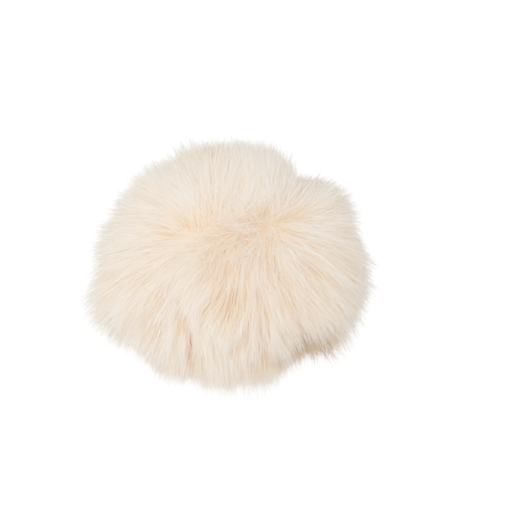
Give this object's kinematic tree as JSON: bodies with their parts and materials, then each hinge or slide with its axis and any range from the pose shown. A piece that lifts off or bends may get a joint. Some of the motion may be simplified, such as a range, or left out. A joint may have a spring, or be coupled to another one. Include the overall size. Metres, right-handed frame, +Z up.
{
  "type": "faux fur pom pom",
  "caption": "Round long-pile faux fur pom pom that rests on a small flat spot, a soft trim for a hat, bag or key ring.",
  "frame": {"origin": "on the surface that the ball rests on, under the middle of its box", "axes": "+Z up, the side where the pile parts faces -Y and up, +X to the right of that side"},
  "size_m": [0.1204, 0.1126, 0.0963],
  "materials": {
    "faux_fur": "long soft pile, matt with a faint sheen"
  },
  "bodies": {
    "root": {"fur_ball": "faux_fur"}
  },
  "joints": []
}
